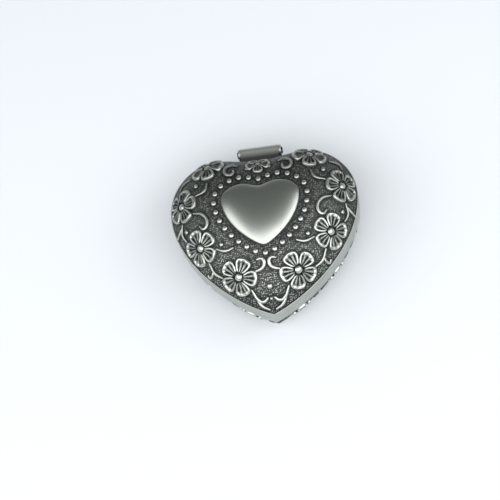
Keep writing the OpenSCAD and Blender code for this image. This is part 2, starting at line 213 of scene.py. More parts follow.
def radius_table(curve, blur=0.0):
    """Radius of a curve by direction, softened over an angle in degrees."""
    angle = np.arctan2(curve[:, 1], curve[:, 0])
    order = np.argsort(angle)
    grid = np.linspace(-math.pi, math.pi, 1441)[:-1]
    radius = np.interp(grid, angle[order], np.linalg.norm(curve, axis=1)[order], period=TURN)
    if blur:
        offset = (np.arange(1440) - 720) / 4
        kernel = np.exp(-0.5 * (offset / blur) ** 2)
        kernel = np.roll(kernel / kernel.sum(), -720)
        radius = np.real(np.fft.ifft(np.fft.fft(radius) * np.fft.fft(kernel)))
    return grid, radius


def dome_fall(reach):
    """How far the dome has fallen, from 0 at its middle to 1 at its edge."""
    crown = castings().crown
    return crown * reach ** 2 + (1 - crown) * reach ** 5


def dome_height(place):
    """Height of the dome's ground over the table at places in plan."""
    sizes = castings()
    curve = inset(outline(), sizes.ledge)
    angle = np.arctan2(place[:, 1], place[:, 0])
    far = np.linalg.norm(place, axis=1)
    sharp, soft = (np.interp(angle, *radius_table(curve, blur), period=TURN)
                   for blur in (0, 14))
    blend = np.clip((far / sharp - 0.45) / 0.55, 0, 1) ** 1.5
    reach = np.minimum(far / (soft + (sharp - soft) * blend), 1)
    return PARTING + sizes.lid_band + sizes.dome * (1 - dome_fall(reach))


def curl_share(angle, less=0.0):
    """Size of the bowl's curve at an angle from its floor up to its band."""
    low = castings().underside - less
    return low + (1 - low) * np.sin(np.radians(angle))


def curl_height(angle, low):
    return low + (PARTING - castings().bowl_band - low) * (1 - np.cos(np.radians(angle)))


def side_place(t, angle):
    """A place on the bowl's side: t runs once round it, the angle from the underside up."""
    plan = walk(inset(outline(), castings().side_step), t) * curl_share(angle)
    return np.array([*plan, curl_height(angle, FOOT)])


# ---- meshes -----------------------------------------------------------------

def placed(name, data):
    """A new object in the scene, at the origin."""
    piece = bpy.data.objects.new(name, data)
    bpy.context.scene.collection.objects.link(piece)
    return piece


def new_mesh(name, points, faces=()):
    mesh = bpy.data.meshes.new(name)
    mesh.from_pydata([tuple(p) for p in points], [], faces)
    return placed(name, mesh)


def smooth_piece(name, points, faces, smooth_under=35):
    piece = new_mesh(name, points, faces)
    piece.data.update()
    piece.data.shade_smooth()
    piece.data.set_sharp_from_angle(angle=math.radians(smooth_under))
    return piece


def lathe_faces(count, rings, first=0):
    faces = []
    for j in range(rings - 1):
        a = first + j * count
        for i in range(count):
            k = (i + 1) % count
            faces.append((a + i, a + count + i, a + count + k, a + k))
    return faces


def capped(name, start, rings, end, smooth_under=35):
    """A closed piece through rings of equally many points, from one pole to the other."""
    count = len(rings[0])
    last = 1 + (len(rings) - 1) * count
    faces = [(0, 1 + i, 1 + (i + 1) % count) for i in range(count)]
    faces += lathe_faces(count, len(rings), 1)
    faces += [(last + count, last + (i + 1) % count, last + i) for i in range(count)]
    return smooth_piece(name, np.vstack([[start], *rings, [end]]), faces, smooth_under)


def looped(name, rings, smooth_under=35):
    """A closed piece round the heart, through rings that return to the first one."""
    count = len(rings[0])
    faces = lathe_faces(count, len(rings))
    last = (len(rings) - 1) * count
    faces += [(last + i, i, (i + 1) % count, last + (i + 1) % count) for i in range(count)]
    return smooth_piece(name, np.vstack(rings), faces, smooth_under)


# Inset and height of a rounded edge's rings in millimetres, from the band to the edge
ROUNDED = ((0, 0.2), (0.06, 0.06), (0.2, 0))


def rounded_edge(curve, z, way=1, steps=ROUNDED):
    return [ring(inset(curve, back * MM), z + way * up * MM) for back, up in steps]


def coordinates(piece):
    co = np.empty(len(piece.data.vertices) * 3, np.float32)
    piece.data.vertices.foreach_get("co", co)
    return co.reshape(-1, 3)


def store(piece, name, values, kind="FLOAT"):
    layer = piece.data.attributes.new(name, kind, "POINT")
    layer.data.foreach_set("vector" if kind == "FLOAT_VECTOR" else "value",
                           np.asarray(values, np.float32).ravel())


def evaluated(piece):
    """The plain mesh of a piece with its modifiers applied."""
    view = bpy.context.evaluated_depsgraph_get()
    view.update()
    return bpy.data.meshes.new_from_object(piece.evaluated_get(view), depsgraph=view)


def assign(thing, **values):
    for key, value in values.items():
        setattr(thing, key, value)
    return thing


def paint(piece, *materials):
    piece.data.materials.clear()
    for material in materials:
        piece.data.materials.append(material)


def paint_casting(piece, stippled):
    """Stippled metal on some of a casting's faces and brushed metal on the rest."""
    paint(piece, stippled_antiqued_pewter(), brushed_pewter_band())
    slots = np.ones(len(piece.data.polygons), np.int32)
    slots[stippled] = 0
    piece.data.polygons.foreach_set("material_index", slots)


def joined(name, pieces):
    """One piece of several, each of which is already in place."""
    for piece in bpy.context.selected_objects:
        piece.select_set(False)
    first = pieces[0]
    with bpy.context.temp_override(active_object=first, object=first,
                                   selected_objects=pieces, selected_editable_objects=pieces):
        bpy.ops.object.join()
    first.name = first.data.name = name
    return first


# ---- node trees -------------------------------------------------------------

def add(tree, kind, inputs=(), **settings):
    """A node with its settings. Each input, by name or in order, takes a value, an output or
    another node, whose first output in use then counts."""
    node = assign(tree.nodes.new(kind), **settings)
    given = inputs if isinstance(inputs, dict) else dict(enumerate(inputs))
    for key, value in given.items():
        if isinstance(value, bpy.types.Node):
            value = next(output for output in value.outputs if output.enabled)
        if isinstance(value, bpy.types.NodeSocket):
            tree.links.new(value, node.inputs[key])
        else:
            node.inputs[key].default_value = value
    return node


def node_group(name, **sockets):
    """A geometry tree with named inputs, and the outputs that give them."""
    tree = bpy.data.node_groups.new(name, "GeometryNodeTree")
    for label, kind in {"Geometry": "Geometry", **sockets}.items():
        tree.interface.new_socket(label, in_out="INPUT", socket_type="NodeSocket" + kind)
    tree.interface.new_socket("Geometry", in_out="OUTPUT", socket_type="NodeSocketGeometry")
    return tree, tree.nodes.new("NodeGroupInput").outputs


def shifted(tree, place, way, distance):
    """A place moved a distance along a direction."""
    step = add(tree, "ShaderNodeVectorMath", {0: way, "Scale": distance}, operation="SCALE")
    return add(tree, "ShaderNodeVectorMath", (place, step), operation="ADD")


def cast_ray(tree, casting, source, direction, reach):
    """Whether, where and from which side a ray meets a casting."""
    surface = add(tree, "GeometryNodeObjectInfo", {"Object": casting}).outputs["Geometry"]
    return add(tree, "GeometryNodeRaycast", {
        "Target Geometry": surface, "Source Position": source, "Ray Direction": direction,
        "Ray Length": reach}).outputs


def dressed(tree, geometry, material):
    """Ends a geometry tree with its finish."""
    real = add(tree, "GeometryNodeSetMaterial", {"Geometry": geometry, "Material": material})
    add(tree, "NodeGroupOutput", {"Geometry": real})
    return tree


def motif_tree():
    """Sets a flat motif on a casting at each point and drapes it over the surface.
    Points carry aim, heading and size; the motif carries the height of its relief."""
    tree, given = node_group("draped_motif", Casting="Object", Motif="Object", Reach="Float",
                             Finish="Material")
    aim, heading, up = (add(tree, "GeometryNodeInputNamedAttribute", {"Name": name},
                            data_type="FLOAT_VECTOR") for name in ("aim", "heading", "up"))
    size, rise = (add(tree, "GeometryNodeInputNamedAttribute", {"Name": name},
                      data_type="FLOAT") for name in ("size", "rise"))
    motif = add(tree, "GeometryNodeObjectInfo", {"Object": given["Motif"]}).outputs["Geometry"]
    place = add(tree, "GeometryNodeInputPosition")
    hit = cast_ray(tree, given["Casting"], place, aim, given["Reach"])
    points = add(tree, "GeometryNodeStoreNamedAttribute",
                 {"Geometry": given["Geometry"], "Name": "up", "Value": hit["Hit Normal"]},
                 data_type="FLOAT_VECTOR", domain="POINT")
    points = add(tree, "GeometryNodeSetPosition",
                 {"Geometry": points, "Position": hit["Hit Position"]})
    turn = add(tree, "FunctionNodeAxesToRotation", (up, heading),
               primary_axis="Z", secondary_axis="X")
    copies = add(tree, "GeometryNodeInstanceOnPoints", {
        "Points": points, "Instance": motif, "Rotation": turn, "Scale": size})
    real = add(tree, "GeometryNodeRealizeInstances", (copies,))
    down = add(tree, "ShaderNodeVectorMath", {0: up, "Scale": -1.0}, operation="SCALE")
    drop = cast_ray(tree, given["Casting"], shifted(tree, place, up, 5 * MM), down, 12 * MM)
    height = add(tree, "ShaderNodeMath", (rise, size), operation="MULTIPLY")
    draped = add(tree, "GeometryNodeSetPosition", {
        "Geometry": real, "Selection": drop["Is Hit"],
        "Position": shifted(tree, drop["Hit Position"], drop["Hit Normal"], height)})
    return dressed(tree, draped, given["Finish"])


def tendril_tree():
    """Lays curves on a casting and sweeps a tapered round wire along them."""
    tree, given = node_group("laid_tendril", Casting="Object", Inward="Float", Spacing="Float",
                             Sides="Int", Lift="Float", Finish="Material")
    resampled = add(tree, "GeometryNodeResampleCurve",
                    {"Curve": given["Geometry"], "Length": given["Spacing"]}, mode="LENGTH")
    place = add(tree, "GeometryNodeInputPosition")
    inward = add(tree, "ShaderNodeVectorMath", (place, (-1, -1, 0)), operation="MULTIPLY")
    inward = add(tree, "ShaderNodeVectorMath", (inward,), operation="NORMALIZE")
    aim = add(tree, "ShaderNodeMix", {"Factor": given["Inward"], 4: (0, 0, -1), 5: inward},
              data_type="VECTOR")
    hit = cast_ray(tree, given["Casting"], place, aim, REACH)
    marked = add(tree, "GeometryNodeStoreNamedAttribute",
                 {"Geometry": resampled, "Name": "up", "Value": hit["Hit Normal"]},
                 data_type="FLOAT_VECTOR", domain="POINT")
    laid = add(tree, "GeometryNodeSetPosition", {
        "Geometry": marked, "Selection": hit["Is Hit"],
        "Position": shifted(tree, hit["Hit Position"], hit["Hit Normal"], given["Lift"])})
    wire = add(tree, "GeometryNodeCurvePrimitiveCircle",
               {"Resolution": given["Sides"], "Radius": 1.0})
    sweep = add(tree, "GeometryNodeCurveToMesh", {
        "Curve": laid, "Profile Curve": wire, "Fill Caps": True})
    if "Scale" in sweep.inputs:
        radius = add(tree, "GeometryNodeInputRadius")
        tree.links.new(radius.outputs["Radius"], sweep.inputs["Scale"])
    up = add(tree, "GeometryNodeInputNamedAttribute", {"Name": "up"}, data_type="FLOAT_VECTOR")
    facing = add(tree, "ShaderNodeVectorMath", (add(tree, "GeometryNodeInputNormal"), up),
                 operation="DOT_PRODUCT")
    top = add(tree, "ShaderNodeMapRange", (facing, 0.05, 0.9, 0.1, 1.0))
    rubbed = add(tree, "GeometryNodeStoreNamedAttribute",
                 {"Geometry": sweep, "Name": "rub", "Value": top},
                 data_type="FLOAT", domain="POINT")
    smooth = add(tree, "GeometryNodeSetShadeSmooth", {"Geometry": rubbed})
    return dressed(tree, smooth, given["Finish"])


def grown(source, tree, values, name):
    """The plain mesh that a node tree makes of an object, which is then removed."""
    modifier = source.modifiers.new(tree.name, "NODES")
    modifier.node_group = tree
    for item in tree.interface.items_tree:
        if item.in_out == "INPUT" and item.name in values:
            modifier[item.identifier] = values[item.name]
    mesh = evaluated(source)
    bpy.data.objects.remove(source)
    mesh.name = name
    return placed(name, mesh)


# ---- finishes ---------------------------------------------------------------

def named_finish(draw):
    """Names a material after the function that draws it, which is called once."""
    def material():
        made = bpy.data.materials.get(draw.__name__)
        if not made:
            made = bpy.data.materials.new(draw.__name__)
            made.use_nodes = True
            made.node_tree.nodes.clear()
            draw(made.node_tree)
        return made
    return material


def tint(name, times=1.0, plus=0.0):
    """A finish's colour, or a lighter or darker one."""
    return [min(1, times * c + plus) for c in getattr(finishes(), name)[:3]] + [1.0]


def grain(tree, pitch, detail=2.0):
    """Uneven grains, a real pitch in millimetres apart and fixed to the piece."""
    place = add(tree, "ShaderNodeTexCoord").outputs["Object"]
    return add(tree, "ShaderNodeTexNoise",
               {"Vector": place, "Scale": 1 / (pitch * MM), "Detail": detail})


def from_front(tree, front, back, low, high):
    """A value that runs from low to high between two places along the box, in millimetres: it
    paints light and shade that fall by place along the box.
    """
    place = add(tree, "ShaderNodeTexCoord").outputs["Object"]
    along = add(tree, "ShaderNodeSeparateXYZ", (place,)).outputs["Y"]
    return add(tree, "ShaderNodeMapRange", (along, front * MM, back * MM, low, high))


def product(tree, first, *factors):
    for factor in factors:
        first = add(tree, "ShaderNodeMath", (first, factor), operation="MULTIPLY")
    return first


def antiqued(tree, cleared, worn):
    """Oxide, the grey left where it is cleared away, and bright metal where that is worn; the
    masks it is given also carry painted highlight and painted shade.
    """
    tone = add(tree, "ShaderNodeMix", {"Factor": cleared, 6: tint("patina"), 7: tint("ground")},
               data_type="RGBA")
    return add(tree, "ShaderNodeMix", {"Factor": worn, 6: tone, 7: tint("rubbed")},
               data_type="RGBA")


def surface(tree, values, height=None, strength=0.0, depth=0.0):
    """A material's shader, with a fine relief of the given depth in millimetres."""
    if height is not None:
        values["Normal"] = add(tree, "ShaderNodeBump", {
            "Strength": strength, "Distance": depth * MM, "Height": height})
    shader = add(tree, "ShaderNodeBsdfPrincipled", values)
    add(tree, "ShaderNodeOutputMaterial", {"Surface": shader})


@named_finish
def stippled_antiqued_pewter(tree):
    """Cast pewter with a ground of small raised grains, blackened and then rubbed: the grains'
    tops are grey and the oxide lies between them and beside the relief. The grain tops carry a
    painted highlight, brightest in front, and in front the oxide between them is painted darker
    as painted shade."""
    place = add(tree, "ShaderNodeTexCoord").outputs["Object"]
    # the grains are 0.7 mm apart
    marks = add(tree, "ShaderNodeTexVoronoi",
                {"Vector": place, "Scale": 1 / (0.7 * MM), "Randomness": 0.6}, feature="F1")
    fine = grain(tree, 0.9, 3.0)
    high = add(tree, "ShaderNodeMapRange", (marks, 0.2, 0.5, 1.0, 0.0))
    sharp = add(tree, "ShaderNodeMapRange", (fine, 0.35, 0.55, 0.5, 1.0))
    clouds = add(tree, "ShaderNodeMapRange", (grain(tree, 9), 0.3, 0.7, 0.7, 1.0))
    stored = add(tree, "ShaderNodeAttribute", attribute_name="rub").outputs["Fac"]
    rub = product(tree, stored, clouds)
    # painted highlight: the grain tops are painted brighter in front and duller behind
    worn = product(tree, high, sharp, rub, from_front(tree, -26, 2, 1.0, 0.42))
    # painted shade: in front the oxide between the grains is painted darker
    cleared = product(tree, rub, from_front(tree, -30, -16, 0.4, 0.66))
    height = add(tree, "ShaderNodeMath", (fine, 0.3, high), operation="MULTIPLY_ADD")
    dull = add(tree, "ShaderNodeMapRange", (worn, 0.0, 1.0, 0.55, 0.34))
    surface(tree, {"Base Color": antiqued(tree, cleared, worn), "Metallic": 0.9,
                   "Roughness": dull}, height, 0.9, 0.13)


@named_finish
def rubbed_pewter_relief(tree):
    """Cast pewter relief, blackened and then rubbed: bright on its rims and dark in its
    hollows.
    Towards the back its brightness is painted lower, as painted shade behind and a painted
    highlight in front."""
    fine = grain(tree, 0.5, 4.0)
    stored = add(tree, "ShaderNodeAttribute", attribute_name="rub").outputs["Fac"]
    uneven = add(tree, "ShaderNodeMath", (
        add(tree, "ShaderNodeMapRange", (fine, 0.3, 0.7, -0.12, 0.12)), 1.0, stored),
        operation="MULTIPLY_ADD", use_clamp=True)
    # painted shade: the relief is painted darker towards the back
    worn = product(tree, uneven, from_front(tree, -20, 16, 1.0, 0.74))
    cleared = add(tree, "ShaderNodeMapRange", (worn, 0.0, 0.5, 0.0, 1.0))
    bright = add(tree, "ShaderNodeMapRange", (worn, 0.45, 0.95, 0.0, 1.0))
    dull = add(tree, "ShaderNodeMapRange", (worn, 0.0, 1.0, 0.55, 0.3))
    surface(tree, {"Base Color": antiqued(tree, cleared, bright), "Metallic": 0.92,
                   "Roughness": dull}, fine, 0.3, 0.05)


@named_finish
def brushed_pewter_band(tree):
    """Pewter brushed round the box with a fine wire wheel, then dulled: a satin metal with
    hair lines 0.1 mm apart, drawn 0.25 mm apart so that they show."""
    place = add(tree, "ShaderNodeTexCoord").outputs["Object"]
    # each line is 8.3 mm long in plan, and in height they are 0.25 mm apart
    place = add(tree, "ShaderNodeMapping", {"Vector": place, "Scale": (120, 120, 4000)})
    lines = add(tree, "ShaderNodeTexNoise", {"Vector": place, "Scale": 1.0, "Detail": 3.0})
    clouds = add(tree, "ShaderNodeMapRange", (grain(tree, 6), 0.3, 0.7, 0.0, 1.0))
    tone = add(tree, "ShaderNodeMix", {
        "Factor": clouds, 6: tint("satin"), 7: tint("satin", 0.86)}, data_type="RGBA")
    dull = add(tree, "ShaderNodeMapRange", (lines, 0.3, 0.7, 0.32, 0.44))
    surface(tree, {"Base Color": tone, "Metallic": 1.0, "Roughness": dull}, lines, 0.35, 0.02)


@named_finish
def rubbed_pewter_hinge(tree):
    """Rolled satin pewter with a painted highlight behind and above; in front beside the lid it
    is grey, partly oxide in the crook and partly painted shade from the lid.
    """
    # painted shade beside the lid, partly oxide, and a painted highlight behind and above
    tone = antiqued(tree, 1.0, from_front(tree, *HINGE_PAINTED_SHADE_TO_HIGHLIGHT, 0.0, 1.0))
    surface(tree, {"Base Color": tone, "Metallic": 1.0, "Roughness": 0.5},
            grain(tree, 0.4, 3.0), 0.25, 0.02)


@named_finish
def blackened_pewter(tree):
    """Pewter left as the oxide bath made it: dark grey with a dull shine."""
    surface(tree, {"Base Color": tint("patina"), "Metallic": 0.9, "Roughness": 0.5})


@named_finish
def satin_polished_pewter(tree):
    """Pewter polished with fine steel wool: an even satin metal, darker under its edge."""
    stored = add(tree, "ShaderNodeAttribute", attribute_name="rub").outputs["Fac"]
    tone = add(tree, "ShaderNodeMix", {
        "Factor": stored, 6: tint("satin", 0.35), 7: tint("satin")}, data_type="RGBA")
    surface(tree, {"Base Color": tone, "Metallic": 1.0, "Roughness": 0.33},
            grain(tree, 0.3), 0.12, 0.01)


@named_finish
def cotton_velvet(tree):
    """Short-pile cotton velvet: dark seen along the pile, with a soft sheen at grazing angles.
    Its tufts are 0.4 mm apart, and where the pile was brushed over it is a little darker."""
    nap = add(tree, "ShaderNodeMapRange", (grain(tree, 9), 0.2, 0.8, 0.0, 1.0))
    tone = add(tree, "ShaderNodeMix", {
        "Factor": nap, 6: tint("velvet"), 7: tint("velvet", 0.78)}, data_type="RGBA")
    surface(tree, {"Base Color": tone, "Roughness": 0.95, "Sheen Weight": 0.8,
                   "Sheen Roughness": 0.4, "Sheen Tint": tint("velvet", 2.2, 0.05)},
            grain(tree, 0.4, 4.0), 0.6, 0.15)


def fibre(tree, name, pitch, depth):
    """Matt fibres with a grain of the given pitch and depth."""
    fine = grain(tree, pitch, 5.0)
    tone = add(tree, "ShaderNodeMix", {"Factor": fine, 6: tint(name, 0.7), 7: tint(name, 1.25)},
               data_type="RGBA")
    surface(tree, {"Base Color": tone, "Roughness": 0.95}, fine, 0.6, depth)


@named_finish
def grey_board(tree):
    """Pressed grey board: matt and faintly mottled."""
    fibre(tree, "board", 0.6, 0.03)


@named_finish
def foam(tree):
    """Upholstery foam: matt, with open pores."""
    fibre(tree, "foam", 0.8, 0.2)


@named_finish
def pressed_felt(tree):
    """Pressed wool felt: matt and slightly fuzzy."""
    fibre(tree, "felt", 0.5, 0.15)


@named_finish
def pale_paper_floor(tree):
    """A sheet of pale studio paper: matt and even."""
    surface(tree, {"Base Color": tint("floor"), "Roughness": 0.9, "Specular IOR Level": 0.2})


# ---- motifs and their places ------------------------------------------------

# Height of a motif from its middle out to its edge, in motif radii
PETAL_PROFILE = ((0, 0.03), (0.3, 0.034), (0.5, 0.05), (0.65, 0.09), (0.76, 0.128),
                 (0.86, 0.13), (0.94, 0.08), (1.0, -0.045))
BEAD_PROFILE = ((0, 0.66), (0.3, 0.64), (0.55, 0.56), (0.75, 0.43), (0.9, 0.25), (1.0, -0.15))

# Places in millimetres. Right-hand blossoms of the lid: centre, diameter, first petal's heading
LID_BLOSSOMS = ((10.8, -28.5, 14.5, 116), (23.8, -15.3, 14.0, 142), (29.6, 2.1, 13.4, 108),
                (19.0, 15.8, 13.2, -90))
CLEFT_BLOSSOM = (0, 13.4, 9.6, -90)
# Loose dots: place and diameter, for the right half and for the middle
SIDE_DOTS = ((23.6, 8.6, 1.9), (15.8, -16.3, 1.7), (28.8, -7.8, 1.7), (4.3, 11.5, 1.2))
MIDDLE_DOTS = ((0, -33.4, 2.2), (0, -37.3, 1.1))

# Right-hand tendrils of the lid: width and places
LID_TENDRILS = (
    (1.55, ((4.6, -28.0), (2.2, -27.4), (0.9, -25.8), (1.5, -24.0), (3.6, -24.1))),
    (1.4, ((6.8, -33.4), (4.7, -36.8), (2.7, -37.7), (1.0, -36.8))),
    (1.3, ((6.0, -35.0), (3.9, -38.6), (1.0, -40.5))),
    (1.35, ((21.4, -21.0), (19.5, -24.9), (16.8, -27.2))),
    (1.2, ((20.3, -23.8), (20.8, -25.1), (21.9, -25.3), (22.5, -24.2))),
    (1.3, ((17.9, -17.4), (14.4, -18.9), (11.3, -18.4))),
    (1.15, ((30.2, -4.4), (30.5, -8.2), (29.0, -11.3))),
    (1.2, ((30.7, -5.8), (32.0, -7.6), (33.2, -8.7))),
    (1.35, ((25.5, -2.2), (21.8, -3.7), (20.2, -7.0), (21.6, -9.2), (23.4, -7.6))),
    (1.15, ((24.1, 4.3), (20.3, 5.4), (19.1, 8.3))),
    (1.2, ((30.5, 9.5), (28.7, 12.4), (25.8, 13.0))),
    (1.35, ((7.4, 13.6), (9.9, 14.4), (12.3, 12.6), (11.6, 10.1), (9.2, 10.2), (9.2, 11.8))),
)

# Blossoms of the bowl: how far each stands round the side from the front point, and their
# height on the side in degrees up from the underside
BOWL_BLOSSOMS = (0.05, 0.145, 0.24, 0.33, 0.415)
BOWL_ROW = 62.0
NEAR = 0.002  # a small step round the side, for directions on it
# Between two of them, along and up the side from the middle: a scroll and two dots
BOWL_SCROLL = (
    ((-4.0, -2.6), (-1.9, -3.3), (-0.3, -1.6), (0.5, 0.9), (2.0, 2.9), (4.0, 2.4)),
    ((-0.7, -2.0), (-2.7, -0.9), (-2.7, 1.0), (-1.3, 1.4), (-1.1, 0.3)),
    ((0.7, 1.6), (2.7, 0.7), (2.8, -1.2), (1.4, -1.6), (1.1, -0.5)),
)
BOWL_DOTS = ((-0.6, 4.4), (0.6, -4.6))

# Between these places behind the heart's centre the hinge goes from grey, painted shade with
# some oxide, to a painted highlight
HINGE_PAINTED_SHADE_TO_HIGHLIGHT = (21.9, 24.2)


def smooth_profile(profile, x):
    """A smooth curve through a profile's points (cubic, with slopes from its neighbours)."""
    px, py = (np.array(v, float) for v in zip(*profile))
    slope = np.gradient(py, px)
    i = np.clip(np.searchsorted(px, x, side="right") - 1, 0, len(px) - 2)
    h = px[i + 1] - px[i]
    t = (x - px[i]) / h
    return ((2 * t ** 3 - 3 * t ** 2 + 1) * py[i] + (t ** 3 - 2 * t ** 2 + t) * h * slope[i]
            + (-2 * t ** 3 + 3 * t ** 2) * py[i + 1] + (t ** 3 - t ** 2) * h * slope[i + 1])


def disc_motif(name, radii, edge, rise, rub):
    """A flat motif of rings round its middle, with its relief stored as heights."""
    count = len(edge)
    middle = edge.mean(0)
    plan = np.vstack([[middle]] + [middle + r * (edge - middle) for r in radii])
    far = np.concatenate([[0]] + [np.full(count, r) for r in radii])
    faces = [(0, 1 + i, 1 + (i + 1) % count) for i in range(count)]
    faces += lathe_faces(count, len(radii), 1)
    motif = smooth_piece(name, np.column_stack([plan, np.zeros(len(plan))]), faces, 180)
    store(motif, "rise", rise(plan, far))
    store(motif, "rub", rub(plan, far))
    return motif


def petal_motif():
    """A blossom's petal along +X, narrow at its heel; the blossom's radius is 1."""
    theta = np.linspace(0, TURN, 65)[:-1]
    c = np.sign(np.cos(theta)) * np.abs(np.cos(theta)) ** 0.92
    edge = np.stack([0.545 + 0.465 * c, 0.375 * np.sin(theta) * (1 + 0.54 * c)], 1)

    def grooves(plan):
        """Depth of the three grooves that fan out from the petal's heel."""
        fan = np.arctan2(plan[:, 1], plan[:, 0] - 0.04)
        return np.clip(1.4 * np.cos(fan * 19) + 0.1, 0, 1)

    def rise(plan, far):
        inside = np.clip((0.8 - far) / 0.2, 0, 1)
        swell = smooth_profile(PETAL_PROFILE, far) + 0.045 * (1 - grooves(plan)) * inside
        return swell * np.clip((plan[:, 0] - 0.05) / 0.22, 0, 1)

    def rub(plan, far):
        # the rim is broadest at the petal's end
        broad = 0.11 + 0.1 * np.clip((plan[:, 0] - 0.6) / 0.3, 0, 1)
        rim = np.clip(1.75 - np.abs(far - 0.8) / broad, 0, 1)
        ridge = np.clip((0.8 - far) / 0.1, 0, 1) * (1 - grooves(plan))
        ridge *= np.clip(0.9 - 0.45 * plan[:, 0], 0, 1)
        return np.maximum(rim, ridge) * np.clip((plan[:, 0] - 0.22) / 0.1, 0, 1)

    radii = np.concatenate([np.linspace(0.12, 0.6, 7), np.linspace(0.66, 0.94, 8), [0.98, 1.0]])
    return disc_motif("petal_motif", radii, edge, rise, rub)


def bead_motif():
    theta = np.linspace(0, TURN, 19)[:-1]
    return disc_motif("bead_motif", np.array([0.3, 0.55, 0.75, 0.9, 1.0]),
                      np.stack([np.cos(theta), np.sin(theta)], 1),
                      lambda plan, far: smooth_profile(BEAD_PROFILE, far),
                      lambda plan, far: np.clip(1.7 - 1.6 * far ** 3, 0.05, 1))


def dome_directions(x, y):
    """Two directions along the dome at a place in plan, one of them sideways."""
    e = 0.05 * MM
    high = dome_height(np.array([[x + e, y], [x - e, y], [x, y + e], [x, y - e]]))
    normal = np.array([high[1] - high[0], high[3] - high[2], 2 * e])
    normal /= np.linalg.norm(normal)
    across = np.array([1.0, 0, 0]) - normal * normal[0]
    across /= np.linalg.norm(across)
    return across, np.cross(normal, across)


def petal_headings(first, across, along):
    """Directions of a blossom's five petals."""
    turns = (math.radians(first + 72 * k) for k in range(5))
    return [math.cos(a) * across + math.sin(a) * along for a in turns]


def lid_layout():
    """Places of the lid's petals and of its round beads, dots and bosses, as rows of
    position, aim, heading and size."""
    sizes = relief()
    petals, rounds = [], []

    def row(x, y, wide, heading=(1, 0, 0)):
        return (x, y, HOVER), (0, 0, -1), tuple(heading), wide / 2

    for x, y, wide, first in np.multiply(LID_BLOSSOMS + (CLEFT_BLOSSOM,), (MM, MM, MM, 1)):
        headings = petal_headings(first, *dome_directions(x, y))
        for side in ((1, -1) if x else (1,)):
            petals += [row(side * x, y, wide, way * (side, 1, 1)) for way in headings]
            rounds.append(row(side * x, y, wide * sizes.boss))
    both = [(side * x, y, wide) for x, y, wide in SIDE_DOTS for side in (1, -1)]
    rounds += [row(*np.multiply(dot, MM)) for dot in both + list(MIDDLE_DOTS)]
    border = inset(smooth_heart_curve(), -sizes.bead_gap)
    for x, y in walk(border, np.arange(sizes.beads) / sizes.beads):
        rounds.append(row(x, y - sizes.heart_forward, sizes.bead))
    return petals, rounds


def bowl_frame(t, angle):
    """A place on the bowl's side with its normal and its directions along and up the side."""
    along = side_place(t + NEAR, angle) - side_place(t - NEAR, angle)
    normal = np.cross(along, side_place(t, angle + 1) - side_place(t, angle - 1))
    normal /= np.linalg.norm(normal)
    along /= np.linalg.norm(along)
    return side_place(t, angle), normal, along, np.cross(normal, along)


def on_bowl(t, along, up):
    """A place on the bowl's side, some millimetres along and up from a blossom row's place."""
    step = np.linalg.norm(side_place(t + NEAR, BOWL_ROW) - side_place(t - NEAR, BOWL_ROW))
    rise = np.linalg.norm(side_place(t, BOWL_ROW + 1) - side_place(t, BOWL_ROW))
    return bowl_frame(t + along * MM * 2 * NEAR / step, BOWL_ROW + up * MM / rise)


def bowl_blossoms():
    return BOWL_BLOSSOMS + tuple(1 - t for t in BOWL_BLOSSOMS)


def bowl_middles():
    marks = sorted(bowl_blossoms())
    return [(a + b) / 2 for a, b in zip(marks, marks[1:] + [marks[0] + 1])]


def bowl_layout():
    """Places of the bowl's petals and of its bosses and dots, as on the lid."""
    sizes = relief()
    petals, rounds = [], []

    def row(centre, normal, heading, wide):
        # the motif is cast on to the side from 5 mm off it
        return centre + normal * 5 * MM, -normal, heading, wide / 2

    for t in bowl_blossoms():
        centre, normal, along, up = bowl_frame(t, BOWL_ROW)
        petals += [row(centre, normal, way, sizes.bowl_blossom)
                   for way in petal_headings(90, along, up)]
        rounds.append(row(centre, normal, along, sizes.bowl_blossom * sizes.boss))
    for t in bowl_middles():
        for dot in BOWL_DOTS:
            rounds.append(row(*on_bowl(t, *dot)[:3], sizes.bowl_dot))
    return petals, rounds


def lid_strands():
    return [(width * MM, [(side * x * MM, y * MM, HOVER) for x, y in strand])
            for width, strand in LID_TENDRILS for side in (1, -1)]


def bowl_strands():
    """A running scroll between each two blossoms of the bowl: a stem with two curls."""
    strands = []
    for t in bowl_middles():
        for path in BOWL_SCROLL:
            centres = [on_bowl(t, along, up)[0] for along, up in path]
            strands.append((relief().tendril, [
                tuple(c + np.array([c[0], c[1], 0]) / np.linalg.norm(c[:2]) * 6 * MM)
                for c in centres]))
    return strands


def wire_curve(name, strands):
    """Smooth curves of given widths, thick in the middle and thin at their ends."""
    curve = bpy.data.curves.new(name, "CURVE")
    curve.dimensions = "3D"
    curve.resolution_u = 10
    for width, strand in strands:
        last = len(strand) - 1
        spline = curve.splines.new("BEZIER")
        spline.bezier_points.add(last)
        for i, (dot, place) in enumerate(zip(spline.bezier_points, strand)):
            assign(dot, co=place, handle_left_type="AUTO", handle_right_type="AUTO",
                   radius=width / 2 * (0.6 if i == last else 0.5 if i == 0 else 1.0))
    return placed(name, curve)


